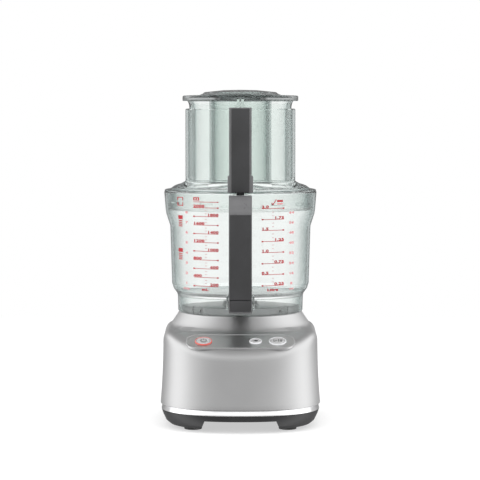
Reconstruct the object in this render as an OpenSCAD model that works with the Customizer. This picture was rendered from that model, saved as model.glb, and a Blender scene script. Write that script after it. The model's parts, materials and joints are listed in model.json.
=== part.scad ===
// Countertop food processor: a direct-drive motor base, a clear bowl with a front handle,
// a lid with a wide feed chute, and a small pusher inside a large one.
// Millimetres, +Z up. The origin is on the table, midway across the base in X and in Y.
// Modules are drawn about the drive axis, and placed() moves them to where that axis stands.

/* [Base] */
// Half of the base's width at its bottom edge
base_half_w = 95.6; // [94.6:0.1:96.6]
// Reach of the base in front of the drive axis
base_front = 140; // [139:0.5:142]
// Reach of the base behind the drive axis
base_back = 88; // [88:0.5:90]
// Height of the bowl's seat above the table
seat_z = 132; // [131.8:0.1:132.2]
// Thickness of the metal housing
housing_wall = 2.4; // [2:0.1:2.6]

/* [Bowl] */
// Outer radius of the bowl's skirt, which drops round the seat
skirt_r = 76; // [75.8:0.1:76.4]
// Outer radius of the bowl's wall just below its flare
bowl_r = 85.7; // [85.2:0.1:86.2]
// Outer radius of the bowl's rim
rim_r = 93; // [92.8:0.1:93.2]
// Height of the bowl's rim above the table
rim_z = 278.4; // [278.2:0.1:278.6]
// Width of the bowl's handle
handle_w = 27; // [26:0.5:28]

/* [Feed chute] */
// Width of the feed chute
chute_w = 132.6; // [132:0.2:134]
// Depth of the feed chute, front to back
chute_d = 108; // [107:0.5:109]
// Height of the feed chute's top edge above the table
chute_z = 378.5; // [377:0.5:380]
// Outer radius of the small feed tube inside the large pusher
small_tube_r = 38; // [37.8:0.1:38.4]

/* [Controls] */
// Width of the control panel
panel_w = 128; // [126:0.5:130]
// Travel of each push button
button_travel = 1.5; // [1:0.1:1.6]

/* [Hidden] */
$fn = 96;
axis_y = (base_front - rim_r) / 2;

// Heights of the base's layers
foot_h = 5;
foot_r = 10.5;
trim_z0 = 20.8;
trim_z1 = 27.7;
shell_z0 = 28;
underside_z = 14;
floor_z0 = 16.5;
grille_top = 18.5;

// Outline of the base: two superellipse ends joined by straight sides
front_end = 78;
rear_end = 70;
front_power = 2.25;
rear_power = 2.6;
arc_steps = 32;
side_steps = 7;
ring_n = 2 * (arc_steps + 1 + side_steps);

// The housing's top: a cone falling from the seat, and the sloping control deck
deck_slope = 0.36;
deck_angle = atan(deck_slope);
deck_y = -112;
deck_z = 105.4;
deck_side_z = 114;
neck_r = 75.2;
neck_z = 130.3;
neck_slope = 1.55;
draft_z = 106;
draft = 3.4;

// Bosses and screws
boss_xy = [86, [-50, 15]];
post_xy = 44;
board_post = [50, 10];

// Motor
shaft_r = 6;
running = 0.05;
bearing_r = 14;
stator_r = 46;
stator_bore = 27;
bolt_r = 48.8;
core_z0 = 50;
core_z1 = 92;
cap_at = [-44, -84];

// Bowl drive
coupling_hex = 10;
coupling_top = 170;
spindle_r = 5;
spindle_hex = 8.6;
tube_r = 10.2;
tube_top = 206;
hub_r = 12.6;
bowl_floor = 155;

// Handle and interlock
handle_front = 128;
handle_top = 277;
handle_bottom = 139.5;
corner_r = 22;
rod_y = -95.5;
grip_rod_y = -118;
plunger_y = -64;
plunger_top = 143.9;

// Feed chute and pushers
chute_y = -12;
chute_corner = 36;
chute_wall = 2.8;
pusher_gap = 2;
pusher_z0 = 286;
tray_z0 = 389.6;
tray_z1 = 392;
lip_z = 396;
tray_w = chute_w + 7;
tray_d = chute_d + 5;
tray_corner = 39;
pusher_w = chute_w - 2 * (chute_wall + pusher_gap);
pusher_d = chute_d - 2 * (chute_wall + pusher_gap);
pusher_corner = chute_corner - chute_wall - pusher_gap;
small_bore = small_tube_r - 2.4;

// Controls: [x, radius of the hole, radius of the cap]
power_key = [-43.3, 10.2, 7.9];
pulse_key = [17.8, 7.4, 5.6];
start_key = [43.8, 10.3, 8.1];
keys = [power_key, pulse_key, start_key];
panel_d = 36;

// ---- helpers ----

module placed() translate([0, axis_y, 0]) children();

// Onto the sloping deck, at height h above it
module on_deck(x = 0, y = 0, h = 0)
    translate([0, deck_y, deck_z]) rotate([deck_angle, 0, 0]) translate([x, y, h]) children();

module ring(r_out, r_in, z0, z1)
    translate([0, 0, z0]) difference() {
        cylinder(h = z1 - z0, r = r_out);
        translate([0, 0, -1]) cylinder(h = z1 - z0 + 2, r = r_in);
    }

module rod(r, z0, z1) translate([0, 0, z0]) cylinder(h = z1 - z0, r = r);

module block(x0, x1, y0, y1, z0, z1)
    translate([x0, y0, z0]) cube([x1 - x0, y1 - y0, z1 - z0]);

module hexagon(across, z0, z1)
    translate([0, 0, z0]) cylinder(h = z1 - z0, r = across / 2 / cos(30), $fn = 6);

module four_posts(r) for (x = [-r, r], y = [-r, r]) translate([x, y, 0]) children();

module at_bosses() for (x = [-1, 1], y = boss_xy[1]) translate([x * boss_xy[0], y, 0]) children();

module board_posts(h) for (x = [-1, 1], y = [-1, 1])
    on_deck(x * board_post[0], y * board_post[1], h) children();

module round_rect(w, d, r) {
    square([w - 2 * r, d], center = true);
    square([w, d - 2 * r], center = true);
    for (x = [-1, 1], y = [-1, 1]) translate([x * (w / 2 - r), y * (d / 2 - r)]) circle(r);
}

module chute_plug(w, d, r, z0, z1)
    translate([0, chute_y, z0]) linear_extrude(z1 - z0) round_rect(w, d, r);

// A profile drawn as (y, z), given a thickness along X
module side_cut(w) rotate([90, 0, 90]) linear_extrude(w, center = true) children();

// A skin through rings that have the same number of points. The rings run down the outside,
// and either close on themselves or end in fans about their own centres.
module ring_skin(rings, closed = false) {
    n = len(rings[0]);
    m = len(rings);
    quads = [for (k = [0 : m - (closed ? 1 : 2)], i = [0 : n - 1])
        let (a = k * n, b = ((k + 1) % m) * n, j = (i + 1) % n) [a + i, a + j, b + j, b + i]];
    halves = [for (q = quads) each [[q[0], q[1], q[2]], [q[0], q[2], q[3]]]];
    first_fan = closed ? [] : [for (i = [0 : n - 1]) [m * n, (i + 1) % n, i]];
    last_fan = closed ? [] : [for (i = [0 : n - 1])
        [m * n + 1, (m - 1) * n + i, (m - 1) * n + (i + 1) % n]];
    points = concat([for (r = rings) each r], closed ? [] : [centre(rings[0]), centre(rings[m - 1])]);
    polyhedron(points, concat(halves, first_fan, last_fan), convexity = 8);
}

function total(v, k = 0) = k == len(v) - 1 ? v[k] : v[k] + total(v, k + 1);
function centre(points) = total(points) / len(points);

// Coil spring about Z
module coil(r, wire_r, z0, z1, turns) {
    sides = 6;
    steps = turns * 12;
    ring_skin([for (k = [0 : steps])
        let (a = 360 * turns * k / steps, z = z0 + wire_r + (z1 - z0 - 2 * wire_r) * k / steps)
        [for (s = [0 : sides - 1])
            let (b = 360 * s / sides, q = r + wire_r * cos(b))
            [q * cos(a), q * sin(a), z + wire_r * sin(b)]]]);
}

// ---- the base's outline ----

function half_width(z) = base_half_w - draft * (1 - pow(max(0, draft_z - z) / (draft_z - shell_z0), 2));
function spread(v, p) = sign(v) * pow(abs(v), 2 / p);

// A point at angle a on an end of the outline, at half width w, moved in by g
function end_point(a, rear, w, g) =
    let (reach = (rear ? rear_end : front_end) - (base_half_w - w) - g,
        mid = rear ? base_back - rear_end : front_end - base_front,
        p = rear ? rear_power : front_power)
    [(w - g) * spread(cos(a), p), mid + reach * spread(sin(a), p)];

function side_point(s, k, w, g) =
    let (t = k / (side_steps + 1), y0 = base_back - rear_end, y1 = front_end - base_front)
    [s * (w - g), s < 0 ? y0 + (y1 - y0) * t : y1 + (y0 - y1) * t];

function outline(w, g = 0) = concat(
    [for (i = [0 : arc_steps]) end_point(180 * i / arc_steps, true, w, g)],
    [for (k = [1 : side_steps]) side_point(-1, k, w, g)],
    [for (i = [0 : arc_steps]) end_point(180 + 180 * i / arc_steps, false, w, g)],
    [for (k = [1 : side_steps]) side_point(1, k, w, g)]);

function lift(p, z) = [p[0], p[1], z];
function flat_outline(w, g, z) = [for (p = outline(w, g)) lift(p, z)];

// ---- the housing's skin ----

function soft_max(a, b, k) = (a + b) / 2 + sqrt(pow(a - b, 2) / 4 + k * k);
function soft_min(a, b, k) = (a + b) / 2 - sqrt(pow(a - b, 2) / 4 + k * k);
function neck_at(r) = neck_z - neck_slope * (r - neck_r);
function deck_at(y) = soft_min(deck_z + deck_slope * (y - deck_y), deck_side_z, 1);
function top_at(p) = soft_max(neck_at(norm(p)), deck_at(p[1]), 1.2);
function toward(p, r) = [p[0], p[1]] * (r / norm([p[0], p[1]]));
function onto_top(p) = lift(p, top_at(p));

edge = outline(half_width(draft_z));
function round_in(e) = min(9, 0.6 * (norm(e) - 80));
function round_from(e) = norm(e) - round_in(e);
function corner(e) = onto_top(e);
function deck_ring(t) = [for (e = edge) onto_top(toward(e, 80 + (round_from(e) - 80) * t))];
function neck_ring(r) = [for (e = edge) onto_top(toward(e, r))];
function flat_ring(r, z) = [for (e = edge) lift(toward(e, r), z)];
function round_foot(i) = let (z = corner(edge[i])[2] - 10) lift(outline(half_width(z))[i], z);
round_end = [for (i = [0 : ring_n - 1]) round_foot(i)];
function bend_ring(t) = [for (i = [0 : ring_n - 1])
    let (e = edge[i], p = onto_top(toward(e, round_from(e))))
    pow(1 - t, 2) * p + 2 * t * (1 - t) * corner(e) + t * t * round_end[i]];
function wall_ring(t, g = 0) = [for (i = [0 : ring_n - 1])
    let (z = round_end[i][2] * (1 - t) + shell_z0 * t) lift(outline(half_width(z), g)[i], z)];
function sunk(points, dr, dz) = [for (p = points) lift(toward(p, norm([p[0], p[1]]) - dr), p[2] - dz)];

housing_rings = concat(
    [flat_ring(68, seat_z - 0.2), flat_ring(neck_r - 0.8, seat_z - 0.2)],
    [for (r = [75.6, 78, 80]) neck_ring(r)],
    [for (t = [0.15, 0.4, 1]) deck_ring(t)],
    [for (t = [0.35, 0.65, 1]) bend_ring(t)],
    [for (t = [0.4, 0.75, 1]) wall_ring(t)],
    [for (t = [1, 0.4, 0]) wall_ring(t, housing_wall)],
    [sunk(bend_ring(0.5), 1.8, 1.8)],
    [for (t = [1, 0.4, 0.15]) sunk(deck_ring(t), 0.8, housing_wall)],
    [sunk(neck_ring(80), 1.8, 1.5), flat_ring(72.4, seat_z - 3.6), flat_ring(68, seat_z - 3.6)]);

// ---- base ----

module panel_shape(grow = 0)
    round_rect(panel_w + 2 * grow, panel_d + 2 * grow, panel_d / 2 - 1 + grow);

module housing() color("silver") difference() {
    union() {
        ring_skin(housing_rings, closed = true);
        at_bosses() rod(6, shell_z0, 58);
        board_posts(-17.2) rod(3, 0, 15.4);
    }
    at_bosses() rod(1.6, 27, 52);
    board_posts(-18) rod(1.1, 0, 12);
    on_deck(0, 0, -1.2) linear_extrude(12) panel_shape(0.2);
    for (k = keys) on_deck(k[0], 0, -10) rod(k[1], 0, 14);
    translate([0, base_back - 10, 40]) rotate([-90, 0, 0]) rod(8.2, 0, 20);
}

module trim_band() color("gainsboro") translate([0, 0, trim_z0]) linear_extrude(trim_z1 - trim_z0)
    difference() {
        polygon(outline(base_half_w, 0.9));
        polygon(outline(base_half_w, 4));
    }

// How far the tub's side is inside the outline at each height
tub_steps = [[1.4, 20.6], [3.2, 15.5], [6.8, 8], [11.5, 4], [17, 2.4]];
foot_spots = [[56, -94], [-56, -94], [54, 50], [-54, 50]];

module arch(half) polygon([[-half, -1], [half, -1], [half - 6, underside_z], [6 - half, underside_z]]);

module chassis() color("dimgray") difference() {
    union() {
        difference() {
            union() {
                ring_skin([for (s = tub_steps) flat_outline(base_half_w, s[0], s[1])]);
                translate([0, 0, 20]) linear_extrude(10) polygon(outline(base_half_w, 4.2));
            }
            translate([0, 0, floor_z0]) linear_extrude(20) polygon(outline(base_half_w, 7));
        }
        at_bosses() rod(5.2, floor_z0, 27.8);
    }
    rotate([90, 0, 0]) linear_extrude(400, center = true) arch(48);
    translate([0, -24, 0]) side_cut(400) arch(46);
    for (p = foot_spots) translate(p) rod(foot_r + 0.2, -1, foot_h + 0.2);
    rod(40.2, underside_z - 1, 20);
    at_bosses() {
        rod(4, -1, 22);
        rod(1.8, 20, 30);
        rod(6.3, 27.8, 31);
    }
}

module bottom_grille() color("dimgray") difference() {
    union() {
        rod(40, underside_z, 17);
        rod(70, floor_z0 + 0.1, grille_top);
        four_posts(post_xy) rod(6, floor_z0 + 0.1, 26);
    }
    for (x = [-30 : 7.5 : 30]) let (half = sqrt(34 * 34 - x * x) - 2)
        block(x - 1.8, x + 1.8, -half, half, 10, 22);
    four_posts(post_xy) rod(2, 18, 28);
}

module rubber_feet() color("black") for (p = foot_spots) translate(p) rod(foot_r, 0, foot_h);

module housing_screws() color("gray") at_bosses() {
    rod(3.4, 19.6, 22);
    rod(1.5, 22, 44);
}

module bowl_seat() color("darkgray") difference() {
    union() {
        rotate_extrude() polygon([[71.8, seat_z], [71.8, 140], [70.8, 141], [23, 141], [21, 143],
            [20, 149.8], [8.5, 149.8], [8.5, 128], [20, 128], [22, 138], [57, 138], [57, 124],
            [67.6, 124], [67.6, seat_z]]);
        for (x = [-15.8, 12.4]) block(x, x + 3.4, plunger_y - 4, plunger_y + 5, 84, 128);
    }
    block(-5.5, 5.5, -75, -59, 136, 145);
    translate([0, plunger_y, 0]) rod(2.75, 110, 150);
    for (a = [45 : 90 : 315]) rotate([0, 0, a]) block(69, 75, -9, 9, seat_z + 0.2, 145);
}

module shaft_seal() color("black") ring(8.4, shaft_r + 0.3, 143, 149.5);

module control_panel() color("gray") difference() {
    on_deck(0, 0, -1.1) linear_extrude(2.1) panel_shape();
    for (k = keys) on_deck(k[0], 0, -3) rod(k[1], 0, 6);
}

module key_ring(k) on_deck(k[0]) ring(k[1] - 0.1, k[2] + 0.3, -6, 1.8);

module key_cap(k) on_deck(k[0]) {
    rod(k[2], -7.5, 2.2);
    rod(2, button_travel - 12.8, -7.5);
}

module power_ring() color("red") key_ring(power_key);
module power_button() color("silver") key_cap(power_key);
module pulse_ring() color("white") key_ring(pulse_key);
module pulse_button() color("silver") key_cap(pulse_key);
module start_ring() color("white") key_ring(start_key);
module start_button() color("silver") key_cap(start_key);

module control_board() color("green") difference() {
    on_deck(0, 0, -19) block(-58, 58, -14, 14, 0, 1.6);
    board_posts(-20) rod(1.3, 0, 4);
}

module board_screws() color("gray") board_posts(-20.6) {
    rod(2.2, 0, 1.5);
    rod(1, 1.5, 10);
}

module button_switches() color("black") for (k = keys) on_deck(k[0], 0, -17.4) {
    block(-3, 3, -3, 3, 0, 3);
    rod(1.6, 3, 4.3);
}

// ---- motor ----

module bearing_bracket(z0, z1, boss0, boss1) difference() {
    union() {
        ring(stator_r + 6, 24, z0, z1);
        for (a = [0 : 60 : 300]) rotate([0, 0, a + 15]) block(15, 26, -4, 4, z0, z1);
        rod(bearing_r + 3, boss0, boss1);
    }
    for (a = [0 : 90 : 270]) rotate([0, 0, a]) translate([bolt_r, 0, 0]) rod(2.1, z0 - 1, z1 + 1);
    rod(bearing_r, boss0 - 1, boss1 + 1);
}

module lower_bracket() color("silver") difference() {
    union() {
        bearing_bracket(34, 38, 28.5, 38);
        for (a = [45 : 90 : 315]) rotate([0, 0, a]) block(46, 60, -8, 8, 34, 38);
        four_posts(post_xy) rod(9, 34, 38);
    }
    four_posts(post_xy) rod(6, 30, 42);
}

module upper_bracket() color("silver") bearing_bracket(106, 110, 106, 116);
module lower_bearing() color("silver") ring(bearing_r - 0.02, shaft_r + running, 29, 38);
module upper_bearing() color("silver") ring(bearing_r - 0.02, shaft_r + running, 106.5, 115.5);

module stator_core() color("slategray") difference() {
    ring(stator_r, stator_bore, core_z0, core_z1);
    for (a = [0 : 15 : 345]) rotate([0, 0, a]) block(30, 39, -1.6, 1.6, core_z0 - 1, core_z1 + 1);
}

module stator_windings() color("peru") {
    ring(41, 29, core_z0 - 10, core_z0);
    ring(41, 29, core_z1, core_z1 + 10);
}

module motor_bolts() color("gray") for (a = [0 : 90 : 270]) rotate([0, 0, a])
    translate([bolt_r, 0, 0]) {
        hexagon(6.4, 31, 34);
        rod(1.9, 34, 110);
        hexagon(6.4, 110, 113);
    }

module motor_grommets() color("black") four_posts(post_xy) {
    ring(8.5, 2.4, 26, 34);
    ring(5.9, 2.4, 34, 38);
    ring(8.5, 2.4, 38, 40.5);
}

module rotor_core() color("slategray") {
    ring(26.4, shaft_r + 0.02, core_z0, core_z1);
    ring(24, 12, core_z0 - 5, core_z0);
    ring(24, 12, core_z1, core_z1 + 5);
}

module motor_shaft() color("lightgray") {
    rod(shaft_r, 19, 150);
    rod(3.6, 150, 164);
}

module cooling_fan() color("black") {
    ring(12, shaft_r + 0.02, 19.5, 27);
    for (a = [0 : 40 : 320]) rotate([0, 0, a]) translate([11, 0, 0]) rotate([0, 0, 18])
        block(0, 25, -0.8, 0.8, 20, 27);
    ring(37, 11.5, 26.6, 28);
}

module drive_coupling() color("lightgray") difference() {
    union() {
        rod(7.2, 150.2, 154);
        hexagon(coupling_hex, 154, coupling_top);
    }
    rod(3.62, 150, 164.1);
}

module run_capacitor() color("whitesmoke") translate(cap_at) {
    rod(13, floor_z0 + 0.2, 74);
    for (x = [-5, 5]) translate([x, 0, 0]) rod(1.6, 74, 80);
}

module capacitor_clamp() color("gray") translate(cap_at) {
    ring(15, 13.2, 34, 46);
    difference() {
        block(-8, 8, 13.8, 17, floor_z0 + 0.1, 46);
        rod(14, 10, 50);
    }
}

module interlock_switch() color("black") translate([0, plunger_y, 0]) {
    block(-12.2, 12.2, -4, 4, 84, 100);
    rod(1.3, 100, 100.9);
    for (x = [-8, 0, 8]) block(x - 1, x + 1, -0.6, 0.6, 78, 84);
}

module switch_plunger() color("gray") translate([0, plunger_y, 0]) {
    rod(2.4, 123, plunger_top);
    rod(4, 121.8, 123.6);
    rod(1.5, 106.2, 122);
}

module plunger_spring() color("lightgray") translate([0, plunger_y, 0]) coil(3.2, 0.4, 100.2, 121.6, 5);

module cord_gland() color("black") translate([0, base_back, 40]) rotate([-90, 0, 0]) {
    ring(7.9, 3.7, -20, 0);
    ring(9.7, 3.7, -8, -4);
}

// ---- bowl ----

module bowl_revolve() rotate_extrude() polygon([
    [skirt_r, 132.3], [skirt_r + 0.6, 151], [77.6, 154.5], [79.4, 157.4], [81.4, 159.8], [83, 162.4],
    [83.7, 165.5], [bowl_r, 236], [86.8, 242], [89.4, 248], [91.1, 253.4], [rim_r, rim_z - 0.6],
    [rim_r - 0.6, rim_z], [rim_r - 2.4, rim_z], [rim_r - 3, rim_z - 0.6], [88.4, 255], [86.6, 249.4],
    [84, 243], [bowl_r - 2.8, 237], [80.9, 165.5], [79.6, 160.6], [76.4, 156.8], [72.6, bowl_floor],
    [tube_r + 1.5, bowl_floor], [tube_r, 156.5], [tube_r, tube_top],
    [spindle_r + running, tube_top], [spindle_r + running, 178], [7.8, 178], [7.8, 152.2],
    [73.2, 152.2], [72.9, 132.3]]);

module bowl() color("azure", 0.4) difference() {
    union() {
        bowl_revolve();
        for (a = [45 : 90 : 315]) rotate([0, 0, a]) block(71, 73.8, -6, 6, 134.5, 138);
        for (a = [30 : 90 : 300]) rotate([0, 0, a]) block(87.9, 90.2, -9, 9, 264, 267);
        for (x = [-16.6, 14.2]) block(x, x + 2.4, -101, -73.8, 141, 158);
        for (x = [-9, 5]) block(x, x + 4, -93.3, -90.6, 257, 268);
    }
    block(-4.5, 4.5, -80, -71, 137, 151.6);
}

module handle_profile() {
    intersection() {
        translate([corner_r - handle_front, handle_top - corner_r]) circle(corner_r);
        translate([-handle_front, 200]) square([handle_front - rim_r - 0.3, 100]);
    }
    translate([corner_r - handle_front, 254])
        square([handle_front - corner_r - rim_r - 0.3, handle_top - 254]);
    translate([-handle_front, 147]) square([18, handle_top - corner_r - 147]);
    translate([-handle_front + 8, handle_bottom]) square([handle_front - 8 - 80.6, 17.5]);
    translate([-handle_front + 8, handle_bottom + 8]) circle(8);
}

module handle_frame() color("gray") difference() {
    side_cut(handle_w) difference() {
        handle_profile();
        translate([-110, 157]) square([26, 91]);
        translate([-110 + 6, 248]) circle(6);
        translate([-104, 242]) square([20, 12]);
    }
    block(-12.2, 12.2, -130, -123, 142, 255.2);
    block(-4.2, 4.2, -121, -114.5, 138, 267.5);
    block(-7, 7, -99.2, -90, 256, 290);
    block(-4.2, 4.2, -115, -92, 256, 267.5);
    block(-4.2, 4.2, -121, -78, 136, 151.5);
}

module handle_grip() color("darkslategray") difference() {
    block(-12, 12, -128.8, -123.2, 156.2, 255);
    block(-8, 8, -124.5, -121, 160, 250);
}

module handle_foot_cap() color("darkslategray") block(-12, 12, -128.4, -123.2, 142.2, 155.8);

// One rigid link from the top of the handle to the foot under the bowl
module handle_rod() color("black") {
    block(-6, 6, rod_y - 2, rod_y + 1.5, 262, 276.8);
    block(-3, 3, grip_rod_y - 2, rod_y + 1.5, 262, 266);
    block(-3, 3, grip_rod_y - 2, grip_rod_y + 2, 144, 266);
    block(-3, 3, grip_rod_y - 2, plunger_y - 1, plunger_top + 0.1, 149.5);
    translate([0, plunger_y, 0]) rod(4, plunger_top + 0.1, 149.5);
}

module drive_spindle() color("gainsboro") difference() {
    union() {
        rod(7.4, 155.5, 176);
        rod(spindle_r, 176, tube_top + 0.5);
        hexagon(spindle_hex, tube_top + 0.5, 226);
    }
    hexagon(coupling_hex + 0.4, 150, coupling_top + 1);
}

module blade_hub() color("darkgray") difference() {
    rotate_extrude() polygon([[tube_r + 0.4, 157.2], [14.2, 157.2], [14.2, 159.4], [hub_r, 159.4],
        [hub_r, 182], [14.2, 182], [14.2, 184], [hub_r, 184], [hub_r, 208], [11.8, 226],
        [10, 230], [0, 231], [0, 207.4], [tube_r + 0.4, 207.4]]);
    hexagon(spindle_hex + 0.4, 200, 226.6);
}

// A cutting wing, narrower and further back towards its tip
function wing_side(tip, s) = [for (k = [0 : 8])
    let (t = k / 8) [s * (11 - 6 * t) - 8 * t * t, -13.2 - (tip - 13.2) * t]];

module wing(tip, z0) {
    ring(14.2, hub_r + 0.2, z0, z0 + 1.8);
    translate([0, 0, z0]) linear_extrude(1.8)
        polygon(concat(wing_side(tip, 1), [for (k = [8 : -1 : 0]) wing_side(tip, -1)[k]]));
}

module lower_blade() color("lightgray") wing(74, 159.5);
module upper_blade() color("lightgray") rotate([0, 0, 180]) wing(77, 184.1);

// ---- lid ----

module lid() color("azure", 0.4) difference() {
    union() {
        rotate_extrude() polygon([[0, 289.4], [60, 289.2], [68.6, 288.2], [75.6, 286.6], [81.2, 284.2],
            [84.4, 281.9], [86, 281.2], [91.8, 280.1], [92.6, 279.5], [92.6, rim_z + 0.2],
            [87.4, rim_z + 0.2], [87.4, 259], [84.9, 259], [84.9, 278.4], [82.4, 281], [79, 282.6],
            [74.6, 284], [68, 285.4], [60, 286.4], [0, 286.6]]);
        for (a = [12 : 90 : 282]) rotate([0, 0, a]) block(86.2, 88.1, -7, 7, 261, 264);
        chute_plug(chute_w, chute_d, chute_corner, 283, chute_z);
    }
    chute_plug(chute_w - 2 * chute_wall, chute_d - 2 * chute_wall, chute_corner - chute_wall, 270, 400);
}

module lid_seal() color("whitesmoke") rotate_extrude()
    polygon([[84.9, 256.6], [87.9, 256.6], [88, 257.4], [87.4, 258.9], [84.9, 258.9]]);

module spine_frame() color("gray") difference() {
    union() {
        block(-13.3, 13.3, -98.5, chute_y - chute_d / 2 - 0.1, 289.6, 380.2);
        block(-15, 15, -98.5, -93.2, 280, 300);
        block(-13.3, 13.3, -94, -84.8, 283.5, 290);
    }
    block(-10.9, 10.9, -92, -68, 292, 377.8);
    block(-5.5, 5.5, -97.8, -91, 270, 390);
}

module spine_cover() color("darkslategray") block(-10.7, 10.7, -100.5, -98.6, 280.4, 379);

module lid_rod() color("black") {
    block(-3, 3, rod_y - 1.5, rod_y + 1.3, 282, 374);
    block(-4.6, 4.6, rod_y - 1.5, rod_y + 1.3, 277, 284);
    block(-3, 3, rod_y, -80.5, 320, 323);
}

module rod_spring() color("lightgray") translate([0, -84, 0]) coil(3, 0.4, 292.2, 319.8, 6);

// ---- pushers ----

module pusher_body() color("azure", 0.4) difference() {
    chute_plug(pusher_w, pusher_d, pusher_corner, pusher_z0, tray_z0 - 0.1);
    difference() {
        chute_plug(pusher_w - 5, pusher_d - 5, pusher_corner - 2.5, pusher_z0 + 3, tray_z0 + 1);
        translate([0, chute_y, 0]) rod(small_tube_r, 280, 400);
    }
    translate([0, chute_y, 0]) rod(small_bore, 280, 400);
}

module pusher_tray() color("gray", 0.6) difference() {
    union() {
        chute_plug(tray_w, tray_d, tray_corner, tray_z0, lip_z - 1.2);
        chute_plug(tray_w - 5, tray_d - 5, tray_corner - 2.5, tray_z1, lip_z);
        block(-4.2, 4.2, rod_y - 1.6, -68, tray_z0, tray_z1);
        block(-4.2, 4.2, rod_y - 1.6, rod_y + 1.4, 374.4, tray_z1);
    }
    chute_plug(tray_w - 10, tray_d - 10, tray_corner - 5, tray_z1, lip_z + 1);
    translate([0, chute_y, 0]) rod(small_bore, 380, 400);
}

module small_pusher() color("azure", 0.4) translate([0, chute_y, 0]) difference() {
    rod(small_bore - 0.9, 287, 392.3);
    rod(small_bore - 3.2, 289.6, 400);
}

module small_pusher_cap() color("gray", 0.8) translate([0, chute_y, 0]) rotate_extrude()
    polygon([[0, 401.4], [18, 401.1], [34, 399.9], [43, 398.3], [45, 397.2], [49.4, 394.9],
        [50.2, 393.8], [49.6, 392.4], [0, 392.4]]);

placed() housing();
placed() trim_band();
placed() chassis();
placed() bottom_grille();
placed() rubber_feet();
placed() housing_screws();
placed() bowl_seat();
placed() shaft_seal();
placed() control_panel();
placed() power_ring();
placed() power_button();
placed() pulse_ring();
placed() pulse_button();
placed() start_ring();
placed() start_button();
placed() control_board();
placed() board_screws();
placed() button_switches();
placed() lower_bracket();
placed() upper_bracket();
placed() lower_bearing();
placed() upper_bearing();
placed() stator_core();
placed() stator_windings();
placed() motor_bolts();
placed() motor_grommets();
placed() rotor_core();
placed() motor_shaft();
placed() cooling_fan();
placed() drive_coupling();
placed() run_capacitor();
placed() capacitor_clamp();
placed() interlock_switch();
placed() switch_plunger();
placed() plunger_spring();
placed() cord_gland();
placed() bowl();
placed() handle_frame();
placed() handle_grip();
placed() handle_foot_cap();
placed() handle_rod();
placed() drive_spindle();
placed() blade_hub();
placed() lower_blade();
placed() upper_blade();
placed() lid();
placed() lid_seal();
placed() spine_frame();
placed() spine_cover();
placed() lid_rod();
placed() rod_spring();
placed() pusher_body();
placed() pusher_tray();
placed() small_pusher();
placed() small_pusher_cap();
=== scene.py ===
import json
import math

import bmesh
import bpy
from mathutils import Matrix, Vector


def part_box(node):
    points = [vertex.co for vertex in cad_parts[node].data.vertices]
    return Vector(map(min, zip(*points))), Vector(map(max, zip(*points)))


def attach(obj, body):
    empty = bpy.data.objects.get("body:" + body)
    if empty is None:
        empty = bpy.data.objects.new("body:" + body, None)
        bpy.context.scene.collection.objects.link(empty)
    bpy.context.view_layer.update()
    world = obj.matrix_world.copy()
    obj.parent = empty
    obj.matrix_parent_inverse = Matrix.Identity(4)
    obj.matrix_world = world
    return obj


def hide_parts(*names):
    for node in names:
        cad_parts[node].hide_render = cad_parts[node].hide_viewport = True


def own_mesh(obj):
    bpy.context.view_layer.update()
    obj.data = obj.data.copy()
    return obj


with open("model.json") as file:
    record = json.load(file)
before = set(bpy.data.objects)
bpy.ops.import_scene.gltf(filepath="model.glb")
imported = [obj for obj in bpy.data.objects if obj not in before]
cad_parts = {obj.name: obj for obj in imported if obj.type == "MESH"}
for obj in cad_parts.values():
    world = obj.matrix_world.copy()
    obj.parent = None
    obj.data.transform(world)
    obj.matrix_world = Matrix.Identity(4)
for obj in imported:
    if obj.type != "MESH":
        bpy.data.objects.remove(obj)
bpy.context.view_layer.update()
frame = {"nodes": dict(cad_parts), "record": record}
record = frame["record"]

mm = 0.001
couplingLow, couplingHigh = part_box("drive_coupling")
axisY = (couplingLow.y + couplingHigh.y) / 2  # the drive axis stands here; pieces are drawn about it
print("frame loaded, drive axis at y =", round(axisY, 4))

studio = {
    "distance": 2.618,  # camera to drive axis, metres
    "height": 0.3927,
    "lens": 160.75,
    "sensor": 36,
    "farClip": 50,
    "tilt": 3.05,  # degrees down
    "shiftX": -0.0008,
    "shiftY": -0.06,
    "bounces": 48,  # enough to see through every wall of the bowl, lid and pushers
    # each light's place, what it looks at, width, height and power
    "topLight": ((0, -0.5, 1.9), (0, 0, 0.15), 1.6, 1.2, 14),
    "leftLight": ((-1.6, -0.9, 0.9), (0, 0, 0.2), 0.7, 1.2, 9),
    "rightLight": ((1.6, -0.9, 0.9), (0, 0, 0.2), 0.7, 1.2, 9),
}

camera = bpy.data.objects.new("camera", bpy.data.cameras.new("camera"))
camera.data.lens = studio["lens"]
camera.data.sensor_width = studio["sensor"]
camera.data.clip_end = studio["farClip"]
camera.location = (0, axisY - studio["distance"], studio["height"])
camera.rotation_euler = (math.radians(90 - studio["tilt"]), 0, 0)
camera.data.shift_x = studio["shiftX"]
camera.data.shift_y = studio["shiftY"]
bpy.context.scene.collection.objects.link(camera)
bpy.context.scene.camera = camera
bpy.context.scene.view_settings.view_transform = "Standard"
cycles = bpy.context.scene.cycles
for limit in ("max_bounces", "transmission_bounces", "transparent_max_bounces", "glossy_bounces"):
    setattr(cycles, limit, studio["bounces"])


def areaLight(name, place, aim, width, height, power):
    light = bpy.data.lights.new(name, "AREA")
    light.shape = "RECTANGLE"
    light.size = width
    light.size_y = height
    light.energy = power
    lamp = bpy.data.objects.new(name, light)
    lamp.location = place
    lamp.rotation_euler = (Vector(aim) - Vector(place)).to_track_quat("-Z", "Y").to_euler()
    lamp.visible_glossy = False
    lamp.visible_transmission = False
    bpy.context.scene.collection.objects.link(lamp)


for lightName in ("topLight", "leftLight", "rightLight"):
    areaLight(lightName, *studio[lightName])


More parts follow.
